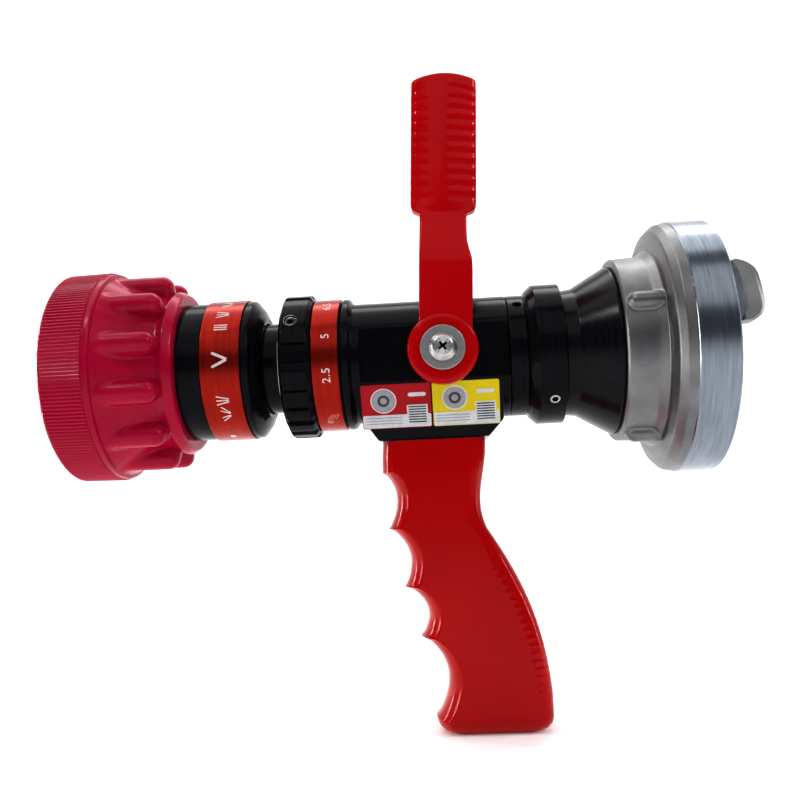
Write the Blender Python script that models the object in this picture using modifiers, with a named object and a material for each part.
"""Pistol-grip fire hose nozzle with a ball shut-off valve, a flow selector, a spray pattern sleeve and a swivel coupling.

The waterway runs along X: the bumper points to -X, the hose joins at +X and the pistol grip hangs to -Z.
Lengths in the profiles below are millimetres, measured along X from the pivot of the shut-off bail.
Angles round the waterway are degrees, counted from the -Y side upwards. The world origin is the middle
of the coupling's mating face.
"""

from math import cos, pi, radians, sin, tau

import bmesh
import bpy
from mathutils import Matrix, Vector

MM = 0.001
GAP = 0.3

# Stations along the waterway.
BUMPER_FRONT = -168.5
BUMPER_REAR = -115.1
SLEEVE_FRONT = -160.0
SLEEVE_REAR = -79.2
PATTERN_BAND = (-104.1, -86.9)
BARREL_FRONT = -148.0
FLOW_RING = (-70.6, -57.0)
FLOW_BAND = (-56.4, -44.8)
BODY_FRONT = -44.3
BODY_REAR = 28.4
RETAINER_END = 36.2
COLLAR = (36.8, 51.9)
CONE = (52.2, 74.4)
COUPLING_FRONT = 74.8
COUPLING_FACE = 115.5

# Radii.
BARREL_RADIUS = 20.5
BARREL_BORE = 15.2
RUNNING_BORE = 20.9
SLEEVE_RADIUS = 31.3
PATTERN_BAND_RADIUS = 32.0
FLOW_BAND_RADIUS = 30.0
FLOW_RING_RADIUS = 31.0
LOBE_HEIGHT = 1.5
BODY_RADIUS = 27.3
CHAMBER_RADIUS = 21.5
BALL_RADIUS = 20.5
BALL_BORE = 13.0
NIPPLE_RADIUS = 23.6
COLLAR_RADIUS = 31.4
CONE_BORE = 24.1
FLANGE_RADIUS = 55.5
NECK_RADIUS = 40.6

# Valve body and its lower block.
SIDE_FLAT = 24.4
BLOCK_BOTTOM = -36.5
BLOCK_FOOT = 13.5
BLOCK_SHOULDER = -12.0

# Shut-off bail.
BAIL_LEAN = 3.0
BAIL_HUB_RADIUS = 15.1
BAIL_OUTER_FACE = 34.0
BAIL_INNER_FACE = 28.0
TRUNNION_RADIUS = 6.2

# Pistol grip.
GRIP_TOP = BLOCK_BOTTOM - GAP
GRIP_BASE = -162.7
GRIP_HALF_THICKNESS = 15.0
BOLT_TOP = (-8.0, -27.5)
BOLT_FOOT = (14.0, GRIP_BASE)

LUG_COUNT = 12
LOBE_COUNT = 19
PAD_MIDDLE = 34.5
PAD_SPAN = 53.0
TOOTH_COUNT = 14
RACE_BALL_COUNT = 6

# Sides of the turned pieces: outer rings, and the finer or hidden ones inside them.
OUTER_SIDES = 32
INNER_SIDES = 20
SMALL_SIDES = 14

for old in list(bpy.data.objects):
    bpy.data.objects.remove(old, do_unlink=True)

parts = bpy.data.collections.new("fire_hose_nozzle")
tools = bpy.data.collections.new("cutters")
bpy.context.scene.collection.children.link(parts)
bpy.context.scene.collection.children.link(tools)


def make_material(name, colour, roughness, metallic=0.0):
    """A Principled material of one colour."""
    material = bpy.data.materials.new(name)
    material.use_nodes = True
    shader = material.node_tree.nodes["Principled BSDF"]
    shader.inputs["Base Color"].default_value = (*colour, 1.0)
    shader.inputs["Roughness"].default_value = roughness
    shader.inputs["Metallic"].default_value = metallic
    material.diffuse_color = (*colour, 1.0)
    return material


FINISHES = {
    "black_anodised": ((0.012, 0.012, 0.018), 0.28, 0.6),
    "orange_red_anodised": ((0.62, 0.035, 0.012), 0.3, 0.7),
    "red_gloss": ((0.48, 0.002, 0.004), 0.16, 0.0),
    "crimson_rubber": ((0.46, 0.008, 0.045), 0.38, 0.0),
    "cast_aluminium": ((0.56, 0.56, 0.55), 0.42, 1.0),
    "steel": ((0.55, 0.54, 0.52), 0.25, 1.0),
    "brass": ((0.60, 0.42, 0.16), 0.3, 1.0),
    "white_polymer": ((0.75, 0.75, 0.72), 0.45, 0.0),
    "black_rubber": ((0.015, 0.015, 0.015), 0.6, 0.0),
    "label_red": ((0.62, 0.02, 0.02), 0.4, 0.0),
    "label_yellow": ((0.75, 0.6, 0.03), 0.4, 0.0),
}


def radial(angle):
    """Unit vector away from the waterway at an angle counted from -Y upwards."""
    return Vector((0.0, -cos(radians(angle)), sin(radians(angle))))


def add_part(name, mesh, finish, collection=parts):
    """Link a mesh as a named object, with a material of its own."""
    item = bpy.data.objects.new(name, mesh)
    collection.objects.link(item)
    if collection is parts:
        mesh.materials.append(make_material(name + "_finish", *FINISHES[finish]))
    else:
        item.hide_render = True
        item.display_type = "WIRE"
    return item


def add_tool(name, mesh):
    return add_part(name, mesh, None, tools)


def aim(item, direction, origin=(0.0, 0.0, 0.0)):
    """Turn an item's own Z axis to a direction and move its origin, given in millimetres."""
    turn = Vector(direction).to_track_quat("Z", "Y")
    item.matrix_basis = Matrix.Translation(Vector(origin) * MM) @ turn.to_matrix().to_4x4()
    return item


def profile_mesh(name, profile):
    """Edges of a profile of (station, radius) points, running so that its Screw faces outwards."""
    area = 0.0
    for (x_a, r_a), (x_b, r_b) in zip(profile, profile[1:] + profile[:1]):
        area += x_a * r_b - x_b * r_a
    ordered = profile if area > 0 else profile[::-1]
    closed = all(radius > 0 for _, radius in profile)
    count = len(ordered)
    edges = [(i, (i + 1) % count) for i in range(count if closed else count - 1)]
    mesh = bpy.data.meshes.new(name)
    mesh.from_pydata([(radius * MM, 0.0, x * MM) for x, radius in ordered], edges, [])
    return mesh


def turned(name, finish, profile, segments=INNER_SIDES, direction=(1, 0, 0), origin=(0, 0, 0)):
    """A turned piece: a closed profile makes a ring, one that starts and ends at radius 0 a solid."""
    mesh = profile_mesh(name, profile)
    item = add_part(name, mesh, finish) if finish else add_tool(name, mesh)
    screw = item.modifiers.new("turn", "SCREW")
    screw.steps = segments
    screw.render_steps = segments
    screw.use_merge_vertices = True
    screw.merge_threshold = 0.00001
    return aim(item, direction, origin)


def rod(name, finish, radius, start, end, segments=SMALL_SIDES, direction=(1, 0, 0), origin=(0, 0, 0)):
    """A plain cylinder between two distances along a direction."""
    profile = [(start, 0), (start, radius), (end, radius), (end, 0)]
    return turned(name, finish, profile, segments, direction, origin)


def seal_ring(name, major, minor, station, direction=(1, 0, 0), segments=INNER_SIDES):
    """An O-ring of round section."""
    corners = [(station + minor * cos(tau * k / 6), major + minor * sin(tau * k / 6)) for k in range(6)]
    return turned(name, "black_rubber", corners, segments, direction)


def box(name, finish, size, centre=(0, 0, 0), turn=None):
    """A cuboid, with a size and a centre in millimetres."""
    mesh = bpy.data.meshes.new(name)
    shape = bmesh.new()
    bmesh.ops.create_cube(shape, size=1.0)
    bmesh.ops.scale(shape, vec=Vector(size) * MM, verts=shape.verts)
    shape.to_mesh(mesh)
    shape.free()
    item = add_part(name, mesh, finish) if finish else add_tool(name, mesh)
    place = Matrix.Translation(Vector(centre) * MM)
    item.matrix_basis = place @ (turn.to_4x4() if turn else Matrix())
    return item


def prism(name, outline, half_depth, across):
    """An outline extruded both ways. The outline lies in XZ when across is Y and in YZ when across is X."""
    curve = bpy.data.curves.new(name, "CURVE")
    curve.dimensions = "2D"
    curve.fill_mode = "BOTH"
    curve.extrude = half_depth * MM
    spline = curve.splines.new("POLY")
    spline.points.add(len(outline) - 1)
    spline.use_cyclic_u = True
    for point, (u, v) in zip(spline.points, outline):
        point.co = (u * MM, v * MM, 0.0, 1.0)
    drawn = bpy.data.objects.new(name + "_outline", curve)
    bpy.context.scene.collection.objects.link(drawn)
    mesh = bpy.data.meshes.new_from_object(drawn.evaluated_get(bpy.context.evaluated_depsgraph_get()))
    bpy.data.objects.remove(drawn)
    shape = bmesh.new()
    shape.from_mesh(mesh)
    bmesh.ops.remove_doubles(shape, verts=shape.verts, dist=1e-6)
    stand = Matrix.Rotation(radians(90), 4, "X")
    if across == "X":
        stand = Matrix.Rotation(radians(90), 4, "Z") @ stand
    bmesh.ops.transform(shape, matrix=stand, verts=shape.verts)
    bmesh.ops.recalc_face_normals(shape, faces=shape.faces)
    shape.to_mesh(mesh)
    shape.free()
    mesh.materials.clear()
    return add_tool(name, mesh)


def loft(name, finish, rings, closed=False):
    """A skin over rings of points in millimetres, capped at both ends, or closed on itself like a tyre."""
    mesh = bpy.data.meshes.new(name)
    shape = bmesh.new()
    rows = [[shape.verts.new(Vector(point) * MM) for point in ring] for ring in rings]
    count = len(rows[0])
    pairs = list(zip(rows, rows[1:]))
    if closed:
        pairs.append((rows[-1], rows[0]))
    else:
        shape.faces.new(rows[0][::-1])
        shape.faces.new(rows[-1])
    for low, high in pairs:
        for k in range(count):
            shape.faces.new((low[k], low[(k + 1) % count], high[(k + 1) % count], high[k]))
    bmesh.ops.recalc_face_normals(shape, faces=shape.faces)
    shape.to_mesh(mesh)
    shape.free()
    return add_part(name, mesh, finish) if finish else add_tool(name, mesh)


def combine(item, other, operation):
    boolean = item.modifiers.new(other.name, "BOOLEAN")
    boolean.operation = operation
    boolean.solver = "EXACT"
    boolean.object = other
    return item


def cut(item, *others):
    for other in others:
        combine(item, other, "DIFFERENCE")
    return item


def join(item, *others):
    for other in others:
        combine(item, other, "UNION")
    return item


def merged_tool(name, pieces):
    """Several separate closed tools as one mesh."""
    bpy.context.view_layer.update()
    graph = bpy.context.evaluated_depsgraph_get()
    shape = bmesh.new()
    for piece in pieces:
        mesh = bpy.data.meshes.new_from_object(piece.evaluated_get(graph))
        mesh.transform(piece.matrix_world)
        shape.from_mesh(mesh)
        bpy.data.meshes.remove(mesh)
        bpy.data.objects.remove(piece)
    mesh = bpy.data.meshes.new(name)
    shape.to_mesh(mesh)
    shape.free()
    return add_tool(name, mesh)


def bezier(start, first, second, end, steps):
    """Points along a cubic curve, without its last one."""
    points = []
    for step in range(steps):
        t = step / steps
        weights = ((1 - t) ** 3, 3 * t * (1 - t) ** 2, 3 * t * t * (1 - t), t**3)
        points.append(tuple(sum(w * p[i] for w, p in zip(weights, (start, first, second, end))) for i in (0, 1)))
    return points


def rounded_section(half_width, half_thickness, corner, arc_steps=3):
    """A rounded rectangle as (u, v) points."""
    points = []
    for quarter, (side_u, side_v) in enumerate(((1, 1), (-1, 1), (-1, -1), (1, -1))):
        for step in range(arc_steps + 1):
            angle = pi / 2 * (quarter + step / arc_steps)
            u = side_u * (half_width - corner) + corner * cos(angle)
            v = side_v * (half_thickness - corner) + corner * sin(angle)
            points.append((u, v))
    return points


# ---------------------------------------------------------------- valve body
def build_valve_body():
    """Turned body with a bead at its front, a lower block for the grip, side flats and the ball chamber."""
    body = turned(
        "valve_body",
        "black_anodised",
        [
            (BODY_FRONT, 0),
            (BODY_FRONT, 28.9),
            (-43.4, 29.9),
            (-41.2, 29.7),
            (-39.4, BODY_RADIUS),
            (BODY_REAR, BODY_RADIUS),
            (BODY_REAR, 0),
        ],
        OUTER_SIDES,
    )
    side = [
        (-38.3, -2.0),
        (-38.3, -14.0),
        (-37.3, -26.0),
        (-30.0, BLOCK_BOTTOM),
        (18.2, BLOCK_BOTTOM),
        (24.7, -29.5),
        (24.7, -2.0),
    ]
    section = [
        (-SIDE_FLAT, -2.0),
        (-SIDE_FLAT, BLOCK_SHOULDER),
        (-BLOCK_FOOT, BLOCK_BOTTOM),
        (BLOCK_FOOT, BLOCK_BOTTOM),
        (SIDE_FLAT, BLOCK_SHOULDER),
        (SIDE_FLAT, -2.0),
    ]
    block = prism("block", side, 30.0, "Y")
    combine(block, prism("block_section", section, 60.0, "X"), "INTERSECT")
    join(body, block)
    flats = [box("flat_tool", None, (64.4, 10, 60), (-3.8, side * (SIDE_FLAT + 5), 0)) for side in (-1, 1)]
    chamber = rod("chamber_tool", None, CHAMBER_RADIUS, -20.0, BODY_REAR + 5, INNER_SIDES)
    front_bore = rod("front_bore_tool", None, 20.0, -29.7, BODY_FRONT - 5, INNER_SIDES)
    throat = rod("throat_tool", None, BARREL_BORE, -31.0, -18.0, INNER_SIDES)
    stems = rod("stem_bore_tool", None, TRUNNION_RADIUS + 0.4, -40, 40, SMALL_SIDES, (0, 1, 0))
    cut(body, merged_tool("flats_tool", flats), chamber, front_bore, throat, stems)
    return cut(body, bolt_rod("bolt_hole_tool", None, 3.3, -1.0, 12.0))


def bolt_rod(name, finish, radius, start, end, segments=SMALL_SIDES):
    """A cylinder on the grip bolt's sloping axis, measured down from the bolt's upper end."""
    (top_x, top_z), (foot_x, foot_z) = BOLT_TOP, BOLT_FOOT
    slope = (foot_x - top_x, 0, foot_z - top_z)
    return rod(name, finish, radius, start, end, segments, slope, (top_x, 0, top_z))


def build_seats():
    """Ball seats, the O-ring that loads the rear one, and the retainer with its swivel nipple."""
    for name, side in (("front_seat", -1), ("rear_seat", 1)):
        seat = [(15.7, 14.0), (11.3, 18.3), (11.3, 21.2), (19.7, 21.2), (19.7, 14.0)]
        turned(name, "white_polymer", [(side * x, radius) for x, radius in seat])
    seal_ring("seat_oring", 19.6, 0.9, 20.9)
    retainer = turned(
        "rear_retainer",
        "black_anodised",
        [
            (22.2, 17.5),
            (22.2, 21.1),
            (BODY_REAR + GAP, 21.1),
            (BODY_REAR + GAP, 27.2),
            (RETAINER_END, 27.2),
            (RETAINER_END, NIPPLE_RADIUS),
            (44.9, NIPPLE_RADIUS),
            (44.9, 22.1),
            (48.5, 22.1),
            (48.5, NIPPLE_RADIUS),
            (52.0, NIPPLE_RADIUS),
            (52.0, 21.9),
            (54.4, 21.9),
            (54.4, NIPPLE_RADIUS),
            (55.6, NIPPLE_RADIUS),
            (55.6, 17.5),
        ],
    )
    cut(retainer, rod("spanner_tool", None, 2.0, 24.6, 30.0, 8, radial(46.8), (33.0, 0, 0)))
    seal_ring("nipple_oring", 22.9, 0.8, 53.2)


def add_ball(name, radius, centre):
    """A small bearing ball."""
    mesh = bpy.data.meshes.new(name)
    shape = bmesh.new()
    bmesh.ops.create_uvsphere(shape, u_segments=8, v_segments=5, radius=radius * MM)
    shape.to_mesh(mesh)
    shape.free()
    add_part(name, mesh, "steel").location = centre * MM


def build_race_balls():
    """Swivel balls, half in the nipple and half in the collar."""
    for number in range(RACE_BALL_COUNT):
        centre = Vector((46.7, 0, 0)) + 24.0 * radial(360 * number / RACE_BALL_COUNT + 20)
        add_ball(f"race_ball_{number + 1}", 1.5, centre)


def build_barrel():
    """Fixed front barrel with its seal grooves, the key slot, and the clip that holds the flow ring."""
    barrel = turned(
        "front_barrel",
        "black_anodised",
        [
            (-30.0, BARREL_BORE),
            (-30.0, 19.7),
            (BODY_FRONT - GAP, 19.7),
            (BODY_FRONT - GAP, BARREL_RADIUS),
            (-71.0, BARREL_RADIUS),
            (-71.0, 19.0),
            (-72.5, 19.0),
            (-72.5, BARREL_RADIUS),
            (-85.4, BARREL_RADIUS),
            (-85.4, 18.5),
            (-87.8, 18.5),
            (-87.8, BARREL_RADIUS),
            (-107.4, BARREL_RADIUS),
            (-107.4, 18.5),
            (-109.8, 18.5),
            (-109.8, BARREL_RADIUS),
            (BARREL_FRONT, BARREL_RADIUS),
            (BARREL_FRONT, 17.5),
            (BARREL_FRONT + 6, BARREL_BORE),
        ],
    )
    cut(barrel, box("key_slot_tool", None, (14.0, 4.0, 6.0), (-96.5, 0, 21.3)))
    seal_ring("barrel_oring_rear", 19.6, 0.9, -86.6)
    seal_ring("barrel_oring_front", 19.6, 0.9, -108.6)
    turned("flow_ring_clip", "steel", [(-71.2, 19.3), (-71.2, 22.4), (-72.3, 22.4), (-72.3, 19.3)])


def build_baffle():
    """Spider, stem, baffle and its screw, on the middle of the waterway."""
    spider = turned("stem_spider", "brass", [(-52, 12.4), (-52, 14.9), (-60, 14.9), (-60, 12.4)])
    hub = turned("spider_hub", None, [(-52, 4.3), (-52, 7.5), (-60, 7.5), (-60, 4.3)], SMALL_SIDES)
    spokes = []
    for angle in (90, 210, 330):
        turn = radial(angle).to_track_quat("Z", "X").to_matrix()
        spokes.append(box("spoke", None, (3.0, 7.0, 7.4), Vector((-56, 0, 0)) + 10.0 * radial(angle), turn))
    join(spider, hub, merged_tool("spokes", spokes))
    stem = [
        (-47.0, 0.0),
        (-47.0, 5.0),
        (-48.5, 6.5),
        (-51.7, 6.5),
        (-51.7, 4.0),
        (-149.0, 4.0),
        (-149.0, 2.9),
        (-138.0, 2.9),
        (-138.0, 0.0),
    ]
    turned("baffle_stem", "steel", stem, SMALL_SIDES)
    baffle = [
        (-145.0, 4.3),
        (-145.0, 6.0),
        (-154.6, 15.0),
        (-158.8, 15.0),
        (-159.5, 14.2),
        (-159.5, 2.9),
        (-149.3, 2.9),
        (-149.3, 4.3),
    ]
    turned("baffle_disc", "brass", baffle)
    screw = [(-159.8, 2.6), (-159.8, 6.0), (-161.3, 5.4), (-162.3, 3.4), (-162.6, 0.0)]
    screw = [(-141.0, 0.0), (-141.0, 2.6)] + screw
    head = turned("baffle_screw", "steel", screw, SMALL_SIDES)
    slot = box("baffle_slot_tool", None, (2.4, 1.6, 14.0), (-162.8, 0, 0))
    cut(head, slot)


# ---------------------------------------------------------------- flow selector
def ring_points(station, radius_at, count):
    """A ring of points round the waterway."""
    points = []
    for k in range(count):
        angle = 360 * k / count
        radius = radius_at(angle)
        points.append(Vector((station, 0, 0)) + radius * radial(angle))
    return points


def build_lobe(length, width, station, angle):
    """One raised bar of the flow ring."""
    out = radial(angle)
    turn = out.to_track_quat("Z", "X").to_matrix()
    height = FLOW_RING_RADIUS + LOBE_HEIGHT - 28.5
    centre = Vector((station, 0, 0)) + (28.5 + height / 2) * out
    return box("lobe", None, (width, length, height), centre, turn)


def build_flow_selector():
    """Lobed ring with a hub that carries the red index band, and its click detent."""
    front, rear = FLOW_RING
    hub_end = FLOW_BAND[1] - 0.1
    ring = turned(
        "flow_ring",
        "black_anodised",
        [
            (front, RUNNING_BORE),
            (front, 29.8),
            (front + 1.2, FLOW_RING_RADIUS),
            (rear - 0.8, FLOW_RING_RADIUS),
            (rear, 30.2),
            (rear, 26.4),
            (hub_end, 26.4),
            (hub_end, RUNNING_BORE),
        ],
        OUTER_SIDES,
    )
    length = rear - front - 2.4
    pitch = (360 - PAD_SPAN) / LOBE_COUNT
    lobes = []
    for number in range(LOBE_COUNT):
        angle = PAD_MIDDLE + PAD_SPAN / 2 + pitch * (number + 0.5)
        lobes.append(build_lobe(length, 5.4, (front + rear) / 2, angle))
    for step in (-1, 0, 1):
        lobes.append(build_lobe(length, 9.0, (front + rear) / 2, PAD_MIDDLE + step * PAD_SPAN / 3.6))
    join(ring, *lobes[-3:])
    join(ring, merged_tool("lobes", lobes[:-3]))
    out = radial(30.7)
    at = (-65.0, 0, 0)
    cut(ring, rod("detent_bore_tool", None, 2.2, 18.0, 36.0, 10, out, at))
    low, high = FLOW_BAND
    band = [(low, 26.8), (low, FLOW_BAND_RADIUS), (high, FLOW_BAND_RADIUS), (high, 26.8)]
    turned("flow_band", "orange_red_anodised", band, OUTER_SIDES)
    screw = [(28.0, 0), (28.0, 1.9), (31.6, 1.9), (31.6, 1.0), (30.2, 1.0), (30.2, 0)]
    turned("flow_set_screw", "steel", screw, 10, out, at)
    build_detent(at, out)


def build_detent(at, out):
    """Click spring and ball under the set screw, on a line away from the waterway."""
    turns, steps = 3, 6
    curve = bpy.data.curves.new("detent_spring", "CURVE")
    curve.dimensions = "3D"
    curve.bevel_depth = 0.25 * MM
    curve.bevel_resolution = 0
    curve.use_fill_caps = True
    spline = curve.splines.new("POLY")
    spline.points.add(turns * steps)
    for step, point in enumerate(spline.points):
        angle = tau * step / steps
        height = 24.6 + 2.9 * step / (turns * steps)
        point.co = (1.3 * cos(angle) * MM, 1.3 * sin(angle) * MM, height * MM, 1.0)
    wire = bpy.data.objects.new("detent_spring_wire", curve)
    parts.objects.link(wire)
    mesh = bpy.data.meshes.new_from_object(wire.evaluated_get(bpy.context.evaluated_depsgraph_get()))
    bpy.data.objects.remove(wire)
    shape = bmesh.new()
    shape.from_mesh(mesh)
    bmesh.ops.remove_doubles(shape, verts=shape.verts, dist=1e-7)
    shape.to_mesh(mesh)
    shape.free()
    aim(add_part("detent_spring", mesh, "steel"), out, at)
    add_ball("detent_ball", 1.6, Vector(at) + 22.5 * out)


# ---------------------------------------------------------------- pattern sleeve and bumper
def build_pattern_sleeve():
    """Twisting sleeve, its guide ring and key, the red index band, and the bumper with its fog teeth."""
    low, high = PATTERN_BAND
    turned(
        "pattern_sleeve",
        "black_anodised",
        [
            (SLEEVE_REAR, RUNNING_BORE),
            (SLEEVE_REAR, 22.9),
            (-81.4, 28.0),
            (-84.4, SLEEVE_RADIUS),
            (high + GAP, SLEEVE_RADIUS),
            (high + GAP, 28.2),
            (low - GAP, 28.2),
            (low - GAP, SLEEVE_RADIUS),
            (BUMPER_REAR + GAP, SLEEVE_RADIUS),
            (BUMPER_REAR + GAP, 25.0),
            (SLEEVE_FRONT, 25.0),
            (SLEEVE_FRONT, 23.2),
            (SLEEVE_FRONT + 7, RUNNING_BORE),
            (-99.6, RUNNING_BORE),
            (-99.6, 23.4),
            (-95.0, 23.4),
            (-95.0, RUNNING_BORE),
        ],
        24,
    )
    band = [(low, 28.6), (low, PATTERN_BAND_RADIUS), (high, PATTERN_BAND_RADIUS), (high, 28.6)]
    turned("pattern_band", "orange_red_anodised", band, 24)
    turned("guide_ring", "white_polymer", [(-99.3, 21.0), (-99.3, 22.9), (-95.3, 22.9), (-95.3, 21.0)])
    box("guide_key", "steel", (3.0, 3.2, 1.9), (-97.3, 0, 19.7))


def build_bumper():
    """Rubber bumper: broad nose band, waist crossed by capsule-shaped lugs and a rear bead."""
    bumper = turned(
        "bumper",
        "crimson_rubber",
        [
            (BUMPER_REAR, 25.3),
            (BUMPER_REAR, 35.8),
            (-118.5, 37.7),
            (-122.0, 36.2),
            (-129.0, 37.2),
            (-138.0, 40.6),
            (-146.6, 45.3),
            (-146.6, 47.3),
            (-148.0, 48.0),
            (-166.8, 47.6),
            (BUMPER_FRONT, 45.6),
            (BUMPER_FRONT, 34.0),
            (-167.6, 33.0),
            (SLEEVE_FRONT - GAP, 33.0),
            (SLEEVE_FRONT - GAP, 25.3),
        ],
        OUTER_SIDES,
    )
    capsule = [(-146.2, 0), (-146.2, 3.2), (-143.5, 4.7), (-125.4, 4.7), (-122.0, 3.3), (-120.7, 0)]
    lugs = []
    for number in range(LUG_COUNT):
        place = 39.7 * radial(11.5 + 360 * number / LUG_COUNT)
        lugs.append(turned("lug", None, capsule, 8, (1, 0, 0), place))
    join(bumper, merged_tool("lugs", lugs))

    def tooth_radius(angle):
        return 25.2 if (angle * TOOTH_COUNT / 360) % 1.0 < 0.5 else 29.0

    count = TOOTH_COUNT * 4
    stations = [
        (-167.0, lambda angle: 32.7),
        (-160.9, lambda angle: 32.7),
        (-160.9, tooth_radius),
        (-165.5, tooth_radius),
        (-167.0, lambda angle: 29.6),
    ]
    loft("fog_ring", "black_rubber", [ring_points(x, radius, count) for x, radius in stations], closed=True)


# ---------------------------------------------------------------- shut-off bail
def bail_stations():
    """Middle line of the bail in the YZ plane from the near hub over the top to the far one.

    Each station is (y, z, half width along X, half thickness).
    """
    near = [
        (-31.0, 4.0, 11.5, 3.0),
        (-31.0, 38.0, 11.2, 3.0),
        (-30.0, 44.0, 10.6, 3.0),
        (-26.6, 54.0, 10.4, 3.2),
        (-25.0, 58.5, 10.6, 3.6),
        (-23.4, 61.0, 13.9, 4.8),
        (-23.0, 64.0, 14.2, 5.2),
        (-23.0, 85.0, 14.4, 5.4),
        (-23.0, 105.0, 14.4, 5.6),
    ]
    bend = []
    for step in range(1, 5):
        angle = radians(90 * step / 5)
        bend.append((-12.5 - 10.5 * cos(angle), 105.0 + 12.5 * sin(angle), 14.3 - 0.6 * step / 5, 5.9))
    middle = [(-9.0, 117.6, 13.6, 6.0), (0.0, 117.8, 13.6, 6.0)]
    half = near + bend + middle
    return half + [(-y, z, width, thickness) for y, z, width, thickness in half[-2::-1]]


def build_bail(hinge):
    """Inverted-U handle with two hubs, and everything that turns with it down to the valve ball."""
    stations = bail_stations()
    rings = []
    for k, (y, z, half_width, half_thickness) in enumerate(stations):
        before = stations[max(k - 1, 0)]
        after = stations[min(k + 1, len(stations) - 1)]
        along = Vector((0, after[0] - before[0], after[1] - before[1])).normalized()
        out = Vector((1, 0, 0)).cross(along)
        section = rounded_section(half_width, half_thickness, min(2.6, half_thickness - 0.4), 2)
        rings.append([Vector((0, y, z)) + u * Vector((1, 0, 0)) + v * out for u, v in section])
    bail = loft("bail_handle", "red_gloss", rings)
    for side in (-1, 1):
        hub = [
            (BAIL_INNER_FACE, 0),
            (BAIL_INNER_FACE, BAIL_HUB_RADIUS),
            (BAIL_OUTER_FACE - 1.4, BAIL_HUB_RADIUS),
            (BAIL_OUTER_FACE, BAIL_HUB_RADIUS - 1.6),
            (BAIL_OUTER_FACE, 0),
        ]
        join(bail, turned("bail_hub", None, hub, 24, (0, side, 0)))
    cut(bail, rod("bail_bore_tool", None, 5.4, -45, 45, SMALL_SIDES, (0, 1, 0)))
    turning = [bail]
    for name, side in (("near", -1), ("far", 1)):
        turning += build_trunnion(name, (0, side, 0))
    turning.append(build_valve_ball())
    for item in turning:
        item.parent = hinge


def build_trunnion(name, out):
    """One stub shaft with a tongue in the ball, its seal, washer and cross-head screw."""
    shaft = [
        (17.2, 0),
        (17.2, TRUNNION_RADIUS),
        (21.0, TRUNNION_RADIUS),
        (21.0, 4.6),
        (22.8, 4.6),
        (22.8, TRUNNION_RADIUS),
        (SIDE_FLAT + 0.4, TRUNNION_RADIUS),
        (SIDE_FLAT + 0.4, 10.0),
        (BAIL_INNER_FACE - GAP, 10.0),
        (BAIL_INNER_FACE - GAP, 5.0),
        (BAIL_OUTER_FACE - 0.4, 5.0),
        (BAIL_OUTER_FACE - 0.4, 3.2),
        (24.0, 3.2),
        (24.0, 0),
    ]
    trunnion = turned(f"trunnion_{name}", "steel", shaft, SMALL_SIDES, out)
    tongue = Vector(out) * 17.0
    left = box("tongue_tool_a", None, (10, 5.0, 20), tongue + Vector((-7.2, 0, 0)))
    right = box("tongue_tool_b", None, (10, 5.0, 20), tongue + Vector((7.2, 0, 0)))
    cut(trunnion, merged_tool(f"tongue_tool_{name}", [left, right]))
    oring = seal_ring(f"trunnion_oring_{name}", 5.6, 0.7, 21.9, out, SMALL_SIDES)
    face = BAIL_OUTER_FACE + GAP
    washer = turned(
        f"bail_washer_{name}",
        "steel",
        [(face, 3.3), (face, 9.5), (face + 1.2, 9.5), (face + 1.2, 3.3)],
        INNER_SIDES,
        out,
    )
    seat = face + 1.2 + GAP
    pan = [
        (25.0, 0),
        (25.0, 2.9),
        (seat, 2.9),
        (seat, 6.0),
        (seat + 1.8, 5.8),
        (seat + 3.4, 3.6),
        (seat + 3.7, 0),
    ]
    screw = turned(f"bail_screw_{name}", "steel", pan, 16, out)
    arms = []
    for size in ((6.4, 4.0, 1.3), (1.3, 4.0, 6.4)):
        arms.append(box("cross_arm", None, size, Vector(out) * (seat + 3.7)))
    for arm in arms:
        cut(screw, arm)
    return [trunnion, oring, washer, screw]


def build_valve_ball():
    """Ball with a through bore at 45 degrees to the bail, and a slot at each trunnion."""
    mesh = bpy.data.meshes.new("valve_ball")
    shape = bmesh.new()
    bmesh.ops.create_uvsphere(shape, u_segments=20, v_segments=12, radius=BALL_RADIUS * MM)
    bmesh.ops.rotate(shape, matrix=Matrix.Rotation(radians(90), 3, "X"), verts=shape.verts)
    shape.to_mesh(mesh)
    shape.free()
    ball = add_part("valve_ball", mesh, "steel")
    bore = rod("ball_bore_tool", None, BALL_BORE, -30, 30, INNER_SIDES, (1, 0, 1))
    slots = [box("ball_slot_tool", None, (5.2, 6.0, 13.4), (0, side * 19.2, 0)) for side in (-1, 1)]
    seats = [rod("ball_spot_tool", None, 7.0, 19.4, 24.0, SMALL_SIDES, (0, side, 0)) for side in (-1, 1)]
    cut(ball, bore, merged_tool("ball_slots_tool", slots), merged_tool("ball_spots_tool", seats))
    return ball


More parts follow.
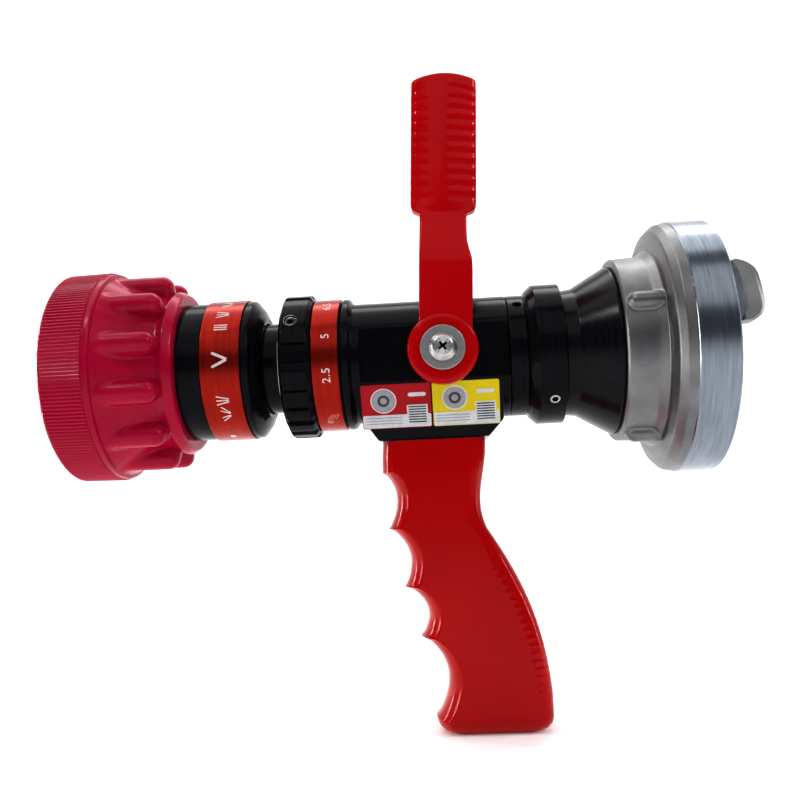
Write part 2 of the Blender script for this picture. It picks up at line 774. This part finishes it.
# ---------------------------------------------------------------- coupling
def build_coupling():
    """Swivel collar, cone adapter, cast coupling with two hooks, gasket and strainer."""
    front, rear = COLLAR
    collar = turned(
        "swivel_collar",
        "black_anodised",
        [
            (front, CONE_BORE),
            (front, 28.0),
            (40.8, COLLAR_RADIUS),
            (rear, COLLAR_RADIUS),
            (rear, CONE_BORE),
            (48.6, CONE_BORE),
            (48.6, 25.8),
            (44.8, 25.8),
            (44.8, CONE_BORE),
        ],
        24,
    )
    out = radial(-47)
    at = (46.7, 0, 0)
    cut(collar, rod("plug_bore_tool", None, 2.4, 22.0, 36.0, 10, out, at))
    plug = [(26.2, 0), (26.2, 2.1), (31.0, 2.1), (31.0, 1.1), (29.4, 1.1), (29.4, 0)]
    turned("race_plug", "steel", plug, 10, out, at)
    turned(
        "cone_adapter",
        "black_anodised",
        [
            (CONE[0], CONE_BORE),
            (CONE[0], 28.0),
            (57.4, 28.4),
            (73.4, 37.4),
            (CONE[1], 37.4),
            (CONE[1], 34.0),
            (84.0, 34.0),
            (84.0, 29.5),
            (74.0, 29.5),
            (60.0, CONE_BORE),
        ],
        24,
    )
    coupling = turned(
        "hose_coupling",
        "cast_aluminium",
        [
            (COUPLING_FRONT, 34.3),
            (COUPLING_FRONT, 39.6),
            (75.8, NECK_RADIUS),
            (87.0, 41.4),
            (90.4, 44.4),
            (91.0, 46.8),
            (93.0, 47.4),
            (97.0, FLANGE_RADIUS),
            (COUPLING_FACE - 1.0, FLANGE_RADIUS),
            (COUPLING_FACE, FLANGE_RADIUS - 1.0),
            (COUPLING_FACE, 47.5),
            (103.5, 47.5),
            (103.5, 39.5),
            (112.4, 39.5),
            (112.4, 33.0),
            (90.0, 33.0),
            (90.0, 29.5),
            (84.3, 29.5),
            (84.3, 34.3),
        ],
        36,
    )
    ribs = []
    rib = [(76.6, 0), (77.3, 2.8), (79.6, 3.9), (97.0, 4.1), (97.0, 0)]
    for angle in (20, 110, 200, 290):
        ribs.append(turned("neck_rib", None, rib, 10, (1, 0, 0), 40.8 * radial(angle)))
    join(coupling, merged_tool("neck_ribs", ribs), merged_tool("hooks", [build_hook(20), build_hook(200)]))
    bore = rod("throat_cut", None, 34.3, 70.0, 84.3, 36)
    cut(coupling, bore, rod("mouth_cut", None, 33.0, 90.0, 118.0, 36))
    turned("coupling_gasket", "black_rubber", [(112.7, 33.6), (112.7, 39.2), (116.0, 38.6), (116.0, 34.2)], 24)
    strainer = rod("strainer", "steel", 32.5, 90.3, 91.5, 24)
    holes = [rod("strainer_hole", None, 5.0, 88, 94, 8)]
    for number in range(6):
        holes.append(rod("strainer_hole", None, 6.5, 88, 94, 8, (1, 0, 0), 17.5 * radial(60 * number)))
    cut(strainer, merged_tool("strainer_holes", holes))
    turned("strainer_clip", "steel", [(91.9, 30.4), (91.9, 32.6), (93.1, 32.6), (93.1, 30.4)])


def build_hook(middle):
    """A coupling hook: an arc-shaped claw that flares at its tip."""
    claw = [
        (102.5, 40.4),
        (102.5, 45.6),
        (119.0, 45.6),
        (121.0, 47.4),
        (126.6, 48.4),
        (128.4, 46.8),
        (128.4, 42.0),
        (127.4, 40.4),
    ]
    rings = []
    for step in range(6):
        angle = middle - 17.5 + 35 * step / 5
        rings.append([Vector((x, 0, 0)) + radius * radial(angle) for x, radius in claw])
    return loft("hook", None, rings)


# ---------------------------------------------------------------- pistol grip
FINGER_CUSPS = [(-30.0, -50.5), (-28.3, -75.0), (-22.2, -100.2), (-15.9, -121.8), (-10.8, -156.0)]
FINGER_DEPTHS = [5.0, 5.8, 6.2, 8.0]


def grip_front():
    """Front edge of the grip from top to base: four finger grooves between five cusps."""
    points = [(-29.3, GRIP_TOP), (-29.8, -44.0)]
    for (x_a, z_a), (x_b, z_b), depth in zip(FINGER_CUSPS, FINGER_CUSPS[1:], FINGER_DEPTHS):
        for step in range(5):
            t = step / 5
            hollow = depth * sin(pi * t) ** 0.8
            points.append((x_a + (x_b - x_a) * t + hollow, z_a + (z_b - z_a) * t))
    return points + [FINGER_CUSPS[-1], (-9.0, -160.4), (-4.5, GRIP_BASE)]


def grip_rear():
    """Rear edge of the grip from top to base."""
    points = bezier((16.8, GRIP_TOP), (16.6, -52.0), (9.5, -62.0), (15.2, -76.0), 8)
    points += bezier((15.2, -76.0), (25.0, -92.0), (37.5, -112.0), (39.2, -147.0), 10)
    return points + [(39.2, -147.0), (38.9, -157.0), (37.2, -160.6), (33.5, GRIP_BASE)]


def edge_at(points, z):
    """X of an edge, given top to bottom, at a height."""
    for (x_a, z_a), (x_b, z_b) in zip(points, points[1:]):
        if z_a >= z >= z_b and z_a != z_b:
            return x_a + (x_b - x_a) * (z_a - z) / (z_a - z_b)
    return points[-1][0] if z < points[-1][1] else points[0][0]


def build_grip():
    """Grip lofted between its front and rear edges, with the bolt that holds it and the plug in its base."""
    front, rear = grip_front(), grip_rear()
    rings = []
    for z in sorted({round(z, 3) for _, z in front}, reverse=True):
        x_front, x_rear = edge_at(front, z), edge_at(rear, z)
        half = (x_rear - x_front) / 2
        thickness = GRIP_HALF_THICKNESS
        if z > -50:
            thickness = BLOCK_FOOT + (GRIP_HALF_THICKNESS - BLOCK_FOOT) * (GRIP_TOP - z) / (GRIP_TOP + 50)
        if z < -158:
            thickness -= 2.2 * ((-158 - z) / 4.7) ** 2
        section = rounded_section(half, thickness, min(7.0, half - 2, thickness - 2), 3)
        rings.append([Vector(((x_front + x_rear) / 2 + u, v, z)) for u, v in section])
    grip = loft("pistol_grip", "red_gloss", rings)
    cut(grip, bolt_rod("grip_bore_tool", None, 5.8, 45.0, 150.0), bolt_rod("shank_bore_tool", None, 3.3, -5.0, 60.0))
    bolt = [(0.5, 0), (0.5, 2.8), (46.3, 2.8), (46.3, 4.8), (51.0, 4.8), (51.0, 2.2), (48.4, 2.2), (48.4, 0)]
    top_x, top_z = BOLT_TOP
    slope = (BOLT_FOOT[0] - top_x, 0, BOLT_FOOT[1] - top_z)
    length = Vector(slope).length
    turned("grip_bolt", "steel", bolt, SMALL_SIDES, slope, (top_x, 0, top_z))
    collar = [(45.1, 3.2), (45.1, 5.4), (46.0, 5.4), (46.0, 3.2)]
    turned("grip_bolt_washer", "steel", collar, SMALL_SIDES, slope, (top_x, 0, top_z))
    bolt_rod("grip_base_plug", "black_rubber", 5.4, length - 7.0, length - 1.4)


def build_labels():
    """Two thin plates on the near slanting facet of the body's block."""
    down = Vector((0, SIDE_FLAT - BLOCK_FOOT, BLOCK_BOTTOM - BLOCK_SHOULDER)).normalized()
    along = Vector((1, 0, 0))
    out = along.cross(down)
    if out.y > 0:
        out = -out
    turn = Matrix((along, down, out)).transposed()
    if turn.determinant() < 0:
        turn = Matrix((along, -down, out)).transposed()
    edge = Vector((0, -SIDE_FLAT, BLOCK_SHOULDER))
    for name, low, high in (("label_red", -36.3, -6.2), ("label_yellow", -5.6, 23.2)):
        centre = edge + down * 11.0 + out * 0.5
        centre.x = (low + high) / 2
        box(name, name, (high - low, 20.0, 0.4), centre, turn)


def settle():
    """Keep each finished shape as a plain mesh, smooth where it is round."""
    bpy.context.view_layer.update()
    graph = bpy.context.evaluated_depsgraph_get()
    shapes = {item: bpy.data.meshes.new_from_object(item.evaluated_get(graph)) for item in parts.objects}
    for item, mesh in shapes.items():
        if item.type != "MESH":
            continue
        item.modifiers.clear()
        mesh.shade_smooth()
        mesh.set_sharp_from_angle(angle=radians(32))
        item.data = mesh
    for tool in list(tools.objects):
        bpy.data.objects.remove(tool)
    bpy.data.collections.remove(tools)


bail_hinge = bpy.data.objects.new("bail_hinge", None)
build_valve_body()
build_seats()
build_race_balls()
build_barrel()
build_baffle()
build_flow_selector()
build_pattern_sleeve()
build_bumper()
build_bail(bail_hinge)
build_coupling()
build_grip()
build_labels()
settle()

parts.objects.link(bail_hinge)
bail_hinge.rotation_euler.y = radians(BAIL_LEAN)
origin = bpy.data.objects.new("coupling_face_centre", None)
parts.objects.link(origin)
origin.location.x = -COUPLING_FACE * MM
for item in parts.objects:
    if item.parent is None and item is not origin:
        item.parent = origin
